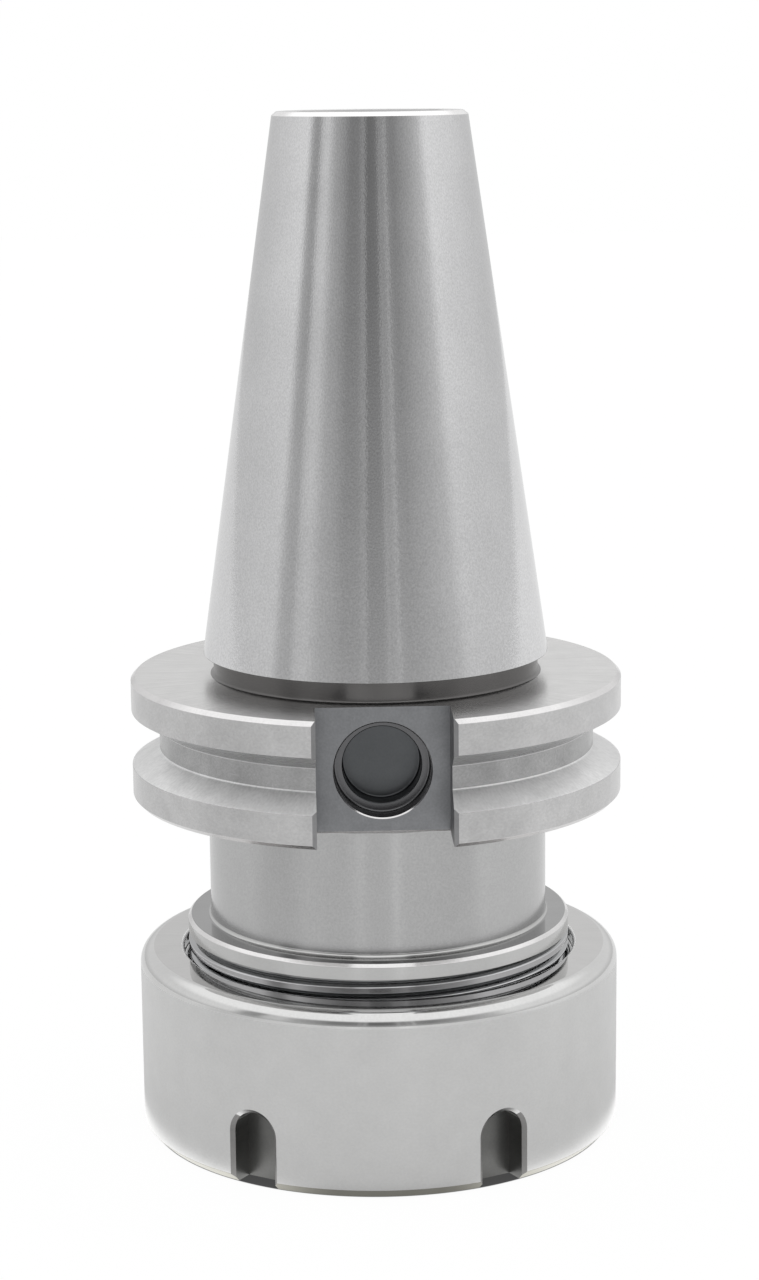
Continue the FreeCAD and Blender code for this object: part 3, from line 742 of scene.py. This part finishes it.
# Each row: colour, roughness, stretch, lines, grain, depth, mottle, cloud and speckle.
FINISHES = {name: steel(name, *values) for name, values in {
    "ground_taper": ((0.71, 0.71, 0.716), 0.07, 0.7, 7.0, 1.0, 0.007, 0.05, 0.12, 0.09),
    # painted highlight: a near-white copy of the polished edge for the bright band at the small
    # end
    "small_end_edge": ((0.97, 0.96, 0.96), 0.16, 0.0, 6.0, 0.4, 0.0005),
    "flange_face": ((0.74, 0.735, 0.73), 0.26, 0.4, 5.0, 0.8, 0.004, 0.06, 0.3, 0.05),
    "flange_rim": ((0.58, 0.577, 0.577), 0.22, 0.6, 4.0, 0.8, 0.004, 0.08, 0.35, 0.05),
    "polished_edge": ((0.78, 0.77, 0.77), 0.16, 0.0, 6.0, 0.4, 0.0005),
    # painted shade: the relief groove under the taper is coloured dark for the shade of the flange
    # and taper over it
    "dark_relief": ((0.146, 0.142, 0.14), 0.26, 0.5),
    # the slot floor's dark colour is partly its milled, oxidised face and partly painted shade
    # from the slot walls
    "slot_floor": ((0.255, 0.26, 0.27), 0.34, 0.0, 1.0, 0.9, 0.002, 0.08, 0.6, 0.05),
    # painted shade: the drive slots' side walls are coloured near black for the shade in the slots
    "slot_wall": ((0.10, 0.10, 0.105), 0.34, 0.0),
    # painted shade: a darker copy of the polished edge for the bevels along the drive slots
    "slot_edge": ((0.40, 0.40, 0.405), 0.60, 0.0),
    # painted shade: the round pocket and its ledge are coloured dark for the shade inside the hole
    "pocket_steel": ((0.115, 0.12, 0.125), 0.34, 0.0, 1.0, 0.9, 0.002, 0.08),
    "pocket_ledge": ((0.15, 0.15, 0.155), 0.26, 0.0),
    # lit and shaded copies of the groove's steel: painted shade on the floor and the downward
    # side, painted light on the upward flank
    "groove_floor": ((0.38, 0.38, 0.38), 0.26, 0.4, 5.0, 0.8, 0.005, 0.14, 0.3, 0.07),
    "groove_flank": ((0.80, 0.80, 0.80), 0.42, 0.2, 5.0, 0.8, 0.005, 0.08, 0.3, 0.06),
    "groove_underside": ((0.62, 0.62, 0.62), 0.28, 0.2, 5.0, 0.5, 0.002, 0.06),
    "satin_neck": ((0.50, 0.50, 0.50), 0.18, 0.95, 7.0, 0.5, 0.0012, 0.02, 0.3, 0.05),
    "bore_steel": ((0.45, 0.45, 0.45), 0.35, 0.0),
    "collar_steel": ((0.57, 0.57, 0.565), 0.14, 0.3, 5.0, 0.3, 0.0006, 0.03),
    # painted shade: a dark, mirror-like copy for the collar's shoulder under the neck
    "collar_shoulder": ((0.33, 0.33, 0.33), 0.08, 0.0, 5.0, 0.3, 0.0004, 0.03),
    "nose_thread_steel": ((0.40, 0.405, 0.41), 0.10, 0.0, 3.0, 0.3, 0.0005, 0.03),
    # painted highlight: a near-white colour for the bright line round the nut's mouth
    "mouth_edge": ((0.95, 0.95, 0.95), 0.5, 0.0),
    # painted highlight: a lighter copy of the thread steel for the crests
    "thread_crest_steel": ((0.58, 0.58, 0.59), 0.12, 0.0, 3.0, 0.3, 0.0005, 0.03),
    "satin_nut": ((0.67, 0.67, 0.665), 0.30, 0.3, 9.0, 0.7, 0.003, 0.03),
    "nut_top_steel": ((0.60, 0.595, 0.59), 0.05, 0.3, 5.0, 0.5, 0.0003, 0.03),
    "nut_fillet_steel": ((0.68, 0.68, 0.675), 0.08, 0.3, 5.0, 0.5, 0.0006, 0.03),
    # painted shade: a dark olive colour for the shaded table that the nut's front bevel reflects
    "nut_front_bevel": ((0.40, 0.39, 0.335), 0.30, 0.0),
    # painted shade: the spanner slots' walls are coloured dark for the shade in them, and their
    # edge bevels take a darker copy
    "nut_slot_steel": ((0.165, 0.165, 0.16), 0.34, 0.0, 2.0, 0.8, 0.002, 0.10),
    "nut_slot_bevel": ((0.34, 0.335, 0.33), 0.60, 0.0),
    "collet_ground": ((0.70, 0.70, 0.69), 0.22, 0.4),
    # painted shade: the saw cuts' faces are coloured darker for the shade in the narrow cuts
    "slit_steel": ((0.25, 0.25, 0.25), 0.40, 0.0),
}.items()}


def coat(piece, choose):
    """Give each face the finish that choose names from its middle and normal, in mm."""
    mesh = piece.data
    middles = read_values(mesh.polygons, "center", width=3) / MM
    normals = read_values(mesh.polygons, "normal", width=3)
    picked = [choose(middle, normal) for middle, normal in zip(middles, normals)]
    found = set(picked)
    rows = {name: row for row, name in enumerate(name for name in FINISHES if name in found)}
    mesh.materials.clear()
    for name in rows:
        mesh.materials.append(FINISHES[name])
    mesh.polygons.foreach_set("material_index",
                              np.array([rows[name] for name in picked], np.int32))
    mesh.update()


# How much of a normal lies along the direction that it is taken to point in.
SQUARE = 0.99


def round_reading(middle, normal):
    """A face's radius, and how much of its normal points away from the spindle axis."""
    radius = math.hypot(middle[0], middle[1])
    return radius, (middle[0] * normal[0] + middle[1] * normal[1]) / max(radius, 1e-6)


def slot_finish(middle, normal, radius):
    """The finish of a face in the drive slots or the pocket, else None; most of these colours
    carry painted shade.
    """
    x, y, z = middle
    # the slots' side walls take a near-black colour, painted shade
    if abs(abs(x) - SLOT_HALF_WIDTH) < HAIR and abs(normal[0]) > SQUARE:
        return "slot_wall"
    # the slots' edge bevels take the darker copy, painted shade
    if radius > 30.7 and 0.6 < abs(normal[0]) < 0.8 and SLOT_HALF_WIDTH < abs(x) < 9.6:
        return "slot_edge"
    # the slot floor: its darker milled face, plus painted shade
    if abs(abs(y) - SLOT_FLOOR) < HAIR and abs(normal[1]) > SQUARE:
        return "slot_floor"
    if abs(x) < SLOT_HALF_WIDTH + HAIR and z < 44.8 and radius > 22.05:
        if 0.4 < abs(normal[1]) < 0.95:
            return "polished_edge"
    # the pocket's walls, floor and ledge take colours with painted shade; its mouth is polished
    if abs(x) < 6.3 and abs(z - POCKET_HEIGHT) < 6.3 and -SLOT_FLOOR - HAIR < y < -16:
        if y < -22.44:
            return "polished_edge"
        return "pocket_steel" if y > -19.55 else "pocket_ledge"
    return None


def flange_finish(z, normal, radius):
    """The finish of a face of the flange outside its slots."""
    if abs(normal[2]) > 0.9:
        return "flange_face"
    if radius > 31.1 and (z > 59.75 or z < 45.02):
        return "polished_edge"
    if radius > 31.6:
        return "flange_rim"
    # the groove's upward flank gets painted light, its underside and floor painted shade
    if normal[2] > 0.3:
        return "groove_flank"
    return "groove_underside" if normal[2] < -0.3 else "groove_floor"


def body_finish(middle, normal):
    """The finish of a face of the body, from the small end down to the nose."""
    z = middle[2]
    radius, outward = round_reading(middle, normal)
    if FLANGE_FOOT - 0.5 < z < FLANGE_TOP + HAIR and 15 < radius < 31.7:
        in_slot = slot_finish(middle, normal, radius)
        if in_slot:
            return in_slot
    # the small end's edge takes the painted highlight
    if z > 131.2 and radius > 8.2:
        return "small_end_edge"
    if z > 63.2:
        return "ground_taper" if outward > 0.5 and radius > 11 else "bore_steel"
    if radius < 20.45:
        return "bore_steel"
    # the relief groove gets a dark colour that is painted shade
    if z > FLANGE_TOP + HAIR:
        return "dark_relief"
    if z > FLANGE_FOOT - HAIR:
        return flange_finish(z, normal, radius)
    if z > 28.9:
        return "satin_neck"
    # the collar's shoulder takes the dark copy, painted shade
    if z > COLLAR_TOP - HAIR and normal[2] > 0.9:
        return "collar_shoulder"
    if radius > 24.3 and z > 27.6 and 0.2 < normal[2] < 0.97:
        return "polished_edge"
    if z > COLLAR_FOOT:
        return "collar_steel"
    # the crests take the lighter copy, painted highlight
    return "thread_crest_steel" if radius > 24.9 else "nose_thread_steel"


def nut_finish(middle, normal):
    """The finish of a face of the nut: slots and front bevel with painted shade, inside, mouth
    with a painted highlight, top, round, wall.
    """
    z = middle[2]
    radius, outward = round_reading(middle, normal)
    # the spanner slots' walls and edge bevels take colours with painted shade
    if z < SPANNER_SLOT_TOP and normal[2] > -0.5:
        if 27.5 < radius < 30.85 and z > 0.02:
            return "nut_slot_steel"
        if 30.8 < radius < NUT_RADIUS - HAIR and z > 0.3 and outward < SQUARE:
            return "nut_slot_bevel"
    # the nut's front bevel takes the dark olive colour, painted shade
    if radius > 30.2 and z < 1.2:
        return "nut_front_bevel"
    if radius < 25.5:
        return "nose_thread_steel" if z > 12.9 else "bore_steel"
    # the nut's mouth edge takes the painted highlight
    if radius < 26.0 and z > 23.6:
        return "mouth_edge"
    if z > NUT_HEIGHT - HAIR:
        return "nut_top_steel"
    return "nut_fillet_steel" if z > NUT_HEIGHT - NUT_ROUND + HAIR else "satin_nut"


def collet_finish(middle, normal):
    """The finish of a face of the collet: its saw cuts, coloured darker as painted shade, or the
    ground rest.
    """
    _, outward = round_reading(middle, normal)
    return "slit_steel" if abs(normal[2]) < 0.2 and abs(outward) < 0.6 else "collet_ground"


PIECES = [
    (build_body(), body_finish, "holder", "chuck_body", "ground_steel"),
    (build_nut(), nut_finish, "nut", "clamping_nut", "nut_steel"),
    (build_collet(), collet_finish, "collet", "spring_collet", "collet_steel"),
]
for piece, finish, body, cad_node, slot in PIECES:
    coat(piece, finish)
    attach(piece, body)
    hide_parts(cad_node)
clear_scratch()


# Studio: a white table, and a room that is light at the sides and dark behind the camera, where
# thin strips of light stand. The rows below are degrees round the compass, with 0 behind the
# camera, and brightness.

VIEW_TURN = 1.9
PHOTO_HEIGHT = 1280
SENSOR_HEIGHT = 24
ROOM_LEVELS = [
    (-180, 0.76), (-146, 0.78), (-120, 0.83), (-88, 0.88), (-74, 0.88), (-67, 0.42),
    (-60, 0.36), (-55, 0.66), (-48, 0.72), (-39, 0.46), (-30, 0.36), (-22, 0.25),
    (-16, 0.25), (-12, 0.25), (-8, 0.26), (-5, 0.19), (0, 0.19), (6, 0.21),
    (9, 0.30), (15, 0.32), (18, 0.31), (24, 0.27), (32, 0.34), (45, 0.47),
    (56, 0.63), (62, 0.84), (66, 0.93), (105, 0.91), (130, 0.86), (148, 0.84), (180, 0.80)]
STRIPS = [(-12.8, 0.34), (-9.8, 0.34), (-6.6, 0.24), (9.4, 0.40), (12.6, 0.40), (15.8, 0.30)]
STRIP_HALF_WIDTH = 0.7
TABLE_LEVELS = [
    (-180, 0.90), (-128, 0.92), (-89, 1.02), (-74, 0.62), (-60, 0.62), (-47, 0.90),
    (-35, 0.92), (-23, 0.84), (-15, 1.0), (-11, 1.24), (-6, 0.92), (0, 0.88), (7, 0.98),
    (11, 1.45), (16, 1.05), (23, 1.0), (47, 0.85), (60, 0.84), (70, 1.24), (100, 1.20),
    (180, 1.0)]
CEILING = 1.1
HAZE = 0.56


def compass(tree, direction):
    """Where a direction lies round the spindle axis, 0 to 1, and its own three parts."""
    parts = node(tree, "ShaderNodeSeparateXYZ", {0: direction})
    azimuth = reckon(tree, "ARCTAN2", parts.outputs["X"],
                     reckon(tree, "MULTIPLY", parts.outputs["Y"], -1.0))
    return parts, reckon(tree, "ADD", reckon(tree, "DIVIDE", azimuth, math.tau), 0.5)


def compass_ramp(tree, share, stops):
    """Brightness round the compass."""
    ramp = node(tree, "ShaderNodeValToRGB", {0: share})
    bar = ramp.color_ramp
    while len(bar.elements) < len(stops):
        bar.elements.new(0.5)
    for element, (degrees, level) in zip(bar.elements, stops):
        turned = degrees if abs(degrees) == 180 else degrees - VIEW_TURN
        element.position = (turned + 180) / 360
        element.color = grey(level)
    return ramp.outputs[0]


def studio_world():
    """The room round the part: its walls with the strips, haze over the horizon, light from
    above, and plain white where the camera looks straight at it."""
    world = bpy.data.worlds.new("studio")
    bpy.context.scene.world = world
    world.use_nodes = True
    tree = world.node_tree
    tree.nodes.clear()
    parts, share = compass(tree, node(tree, "ShaderNodeTexCoord").outputs["Generated"])
    strips = [(centre + side, 0.0 if side else level) for centre, level in STRIPS
              for side in (-STRIP_HALF_WIDTH, 0.0, STRIP_HALF_WIDTH)]
    walls = blended(tree, 1.0, compass_ramp(tree, share, ROOM_LEVELS),
                    compass_ramp(tree, share, strips), "ADD")
    haze = graded(tree, parts.outputs["Z"], 0.02, 0.26, 0.62, 0.0, smooth=True)
    low = blended(tree, haze, walls, grey(HAZE))
    rise = graded(tree, parts.outputs["Z"], 0.46, 0.66, smooth=True)
    room = blended(tree, rise, low, grey(CEILING))
    camera_ray = node(tree, "ShaderNodeLightPath").outputs["Is Camera Ray"]
    background = node(tree, "ShaderNodeBackground",
                      {"Color": blended(tree, camera_ray, room, grey(1)), "Strength": 1.0})
    output = node(tree, "ShaderNodeOutputWorld")
    tree.links.new(background.outputs[0], output.inputs["Surface"])


def studio_table():
    """A white table: a painted contact shadow under the nut, plain white for the camera elsewhere,
    and for the steel's own reflections a light at the nut's foot with brighter and darker streaks
    farther out."""
    bpy.ops.mesh.primitive_plane_add(size=4.0, location=(0, 0, -0.00002))
    table = bpy.context.object
    table.name = "table"
    material, tree, output = new_material("table_white")
    white = node(tree, "ShaderNodeBsdfDiffuse", {"Color": grey(0.86)})
    place = node(tree, "ShaderNodeTexCoord").outputs["Object"]
    reach = node(tree, "ShaderNodeVectorMath", {0: place}, operation="LENGTH").outputs["Value"]
    # painted contact shadow: the table is nearly black under the nut, where the camera sees it
    # through the spanner slots
    painted_contact_shadow = graded(tree, reach, 0.0302, 0.0305, 0.06, 1.01, smooth=True)
    seen = node(tree, "ShaderNodeEmission", {"Color": grey(1), "Strength": painted_contact_shadow})
    parts, share = compass(tree, place)
    far = graded(tree, reach, 0.07, 0.14)
    streaked = blended(tree, far, grey(1), compass_ramp(tree, share, TABLE_LEVELS))
    foot_light = graded(tree, reckon(tree, "ABSOLUTE", parts.outputs["X"]),
                        0.006, 0.022, 0.40, 1.6, smooth=True)
    beyond = graded(tree, reach, 0.033, 0.036)
    strength = node(tree, "ShaderNodeMix", {0: beyond, 2: foot_light, 3: 0.82}).outputs[0]
    mirrored = node(tree, "ShaderNodeEmission", {"Color": streaked, "Strength": strength})
    light_path = node(tree, "ShaderNodeLightPath")
    eye = reckon(tree, "MULTIPLY", light_path.outputs["Is Camera Ray"], 0.96)
    steel_ray = reckon(tree, "MULTIPLY", light_path.outputs["Is Glossy Ray"],
                       reckon(tree, "SUBTRACT", 0.9, reckon(tree, "MULTIPLY", beyond, 0.5)))
    plain = node(tree, "ShaderNodeMixShader",
                 {0: steel_ray, 1: white.outputs[0], 2: mirrored.outputs[0]})
    mixed = node(tree, "ShaderNodeMixShader",
                 {0: eye, 1: plain.outputs[0], 2: seen.outputs[0]})
    tree.links.new(mixed.outputs[0], output.inputs["Surface"])
    table.data.materials.append(material)


def studio_camera():
    """The photograph's view, from just above the small end. The focal length is in pixels."""
    focal_length = 2914.756
    distance, lift = 0.377774, 0.0006803 + GAUGE_HEIGHT * MM
    elevation, roll, yaw = (math.radians(value) for value in (11.2126, -0.6125, 0.0808))
    forward = Vector((0, math.cos(elevation), -math.sin(elevation)))
    right = Vector((1, 0, 0))
    up = right.cross(forward)
    place = Vector((0, -distance * math.cos(elevation),
                    distance * math.sin(elevation) + lift))
    ahead = forward * math.cos(yaw) + right * math.sin(yaw)
    side = right * math.cos(yaw) - forward * math.sin(yaw)
    right = side * math.cos(roll) + up * math.sin(roll)
    up = up * math.cos(roll) - side * math.sin(roll)
    turn = Matrix((right, up, -ahead)).transposed().to_4x4()
    camera = bpy.data.cameras.new("camera")
    camera.sensor_fit = "VERTICAL"
    camera.sensor_height = SENSOR_HEIGHT
    camera.lens = focal_length / PHOTO_HEIGHT * SENSOR_HEIGHT
    camera.clip_start = 0.01
    made = bpy.data.objects.new("camera", camera)
    made.matrix_world = (Matrix.Rotation(math.radians(-VIEW_TURN), 4, "Z")
                         @ Matrix.Translation(place) @ turn)
    bpy.context.scene.collection.objects.link(made)
    bpy.context.scene.camera = made


studio_world()
studio_table()
studio_camera()
bpy.context.scene.view_settings.view_transform = "Standard"
